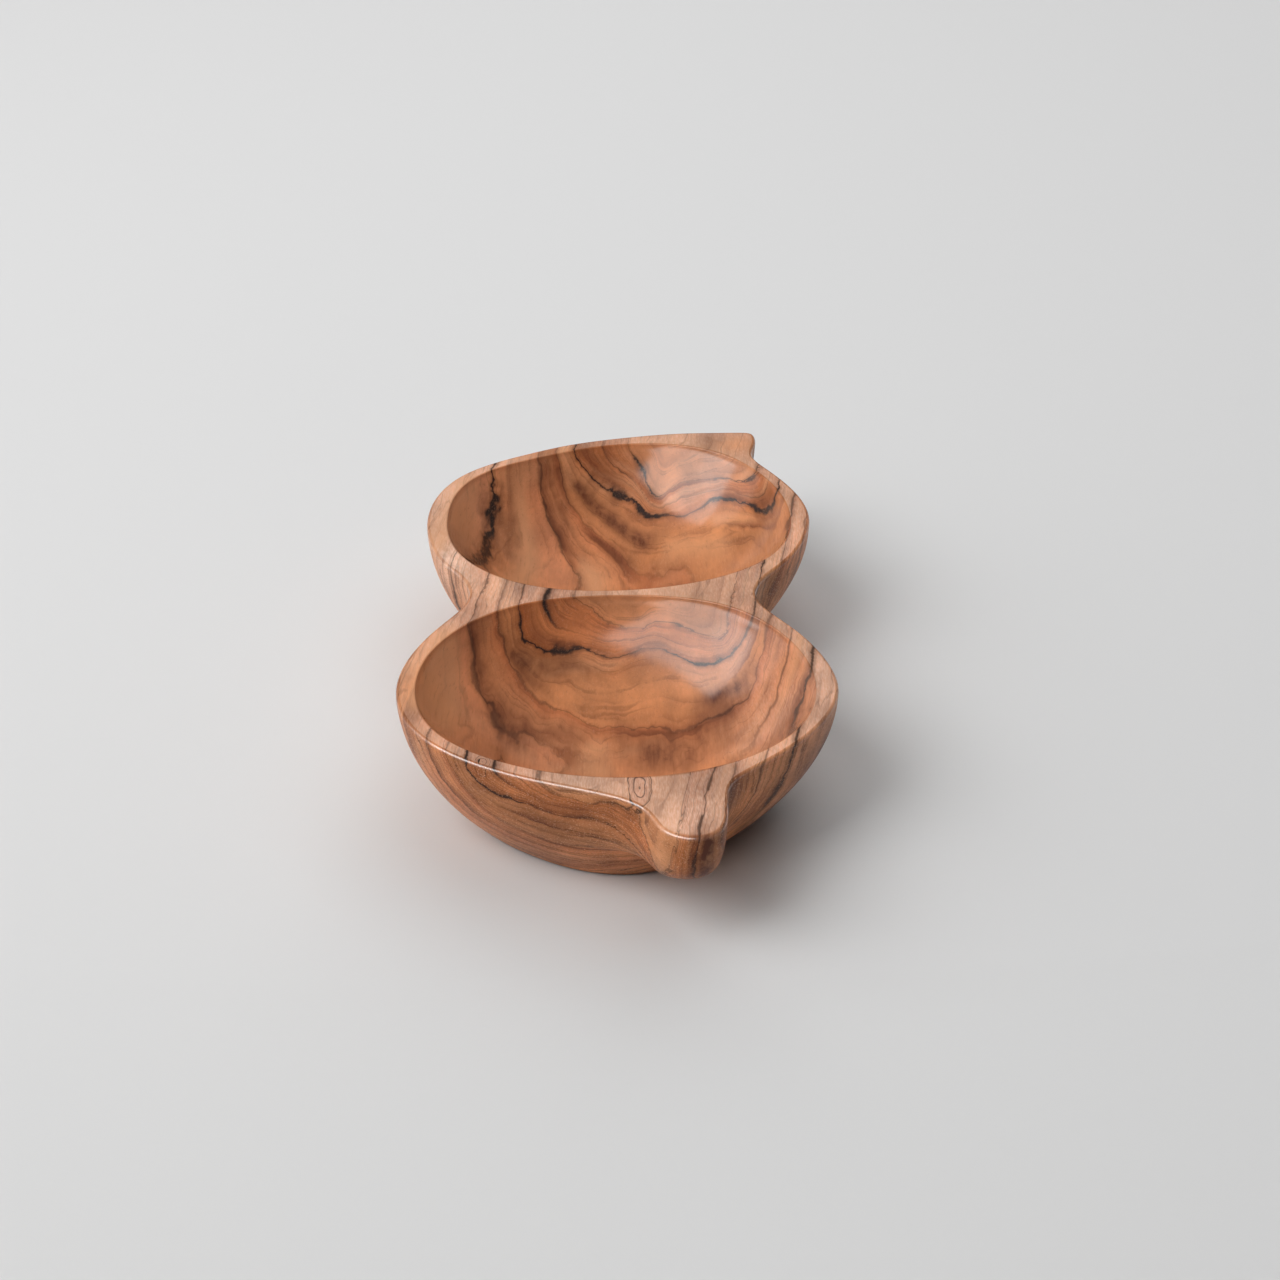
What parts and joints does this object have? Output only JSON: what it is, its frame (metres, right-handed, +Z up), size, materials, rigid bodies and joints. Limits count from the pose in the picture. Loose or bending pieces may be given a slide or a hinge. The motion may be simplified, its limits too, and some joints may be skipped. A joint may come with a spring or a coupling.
{
  "type": "divided serving bowl",
  "caption": "Divided serving bowl carved from solid teak, with an oval compartment either side of a thin web and a flat rim drawn out into a blunt tip at each end.",
  "frame": {"origin": "middle of the bowl's box, on the surface that it stands on", "axes": "+Y from the near compartment to the far one, +X to the right seen from the near end, +Z up"},
  "size_m": [0.1596, 0.304, 0.05],
  "materials": {
    "teak": "satin lacquer"
  },
  "bodies": {
    "root": {"carved_bowl": "teak"}
  },
  "joints": []
}
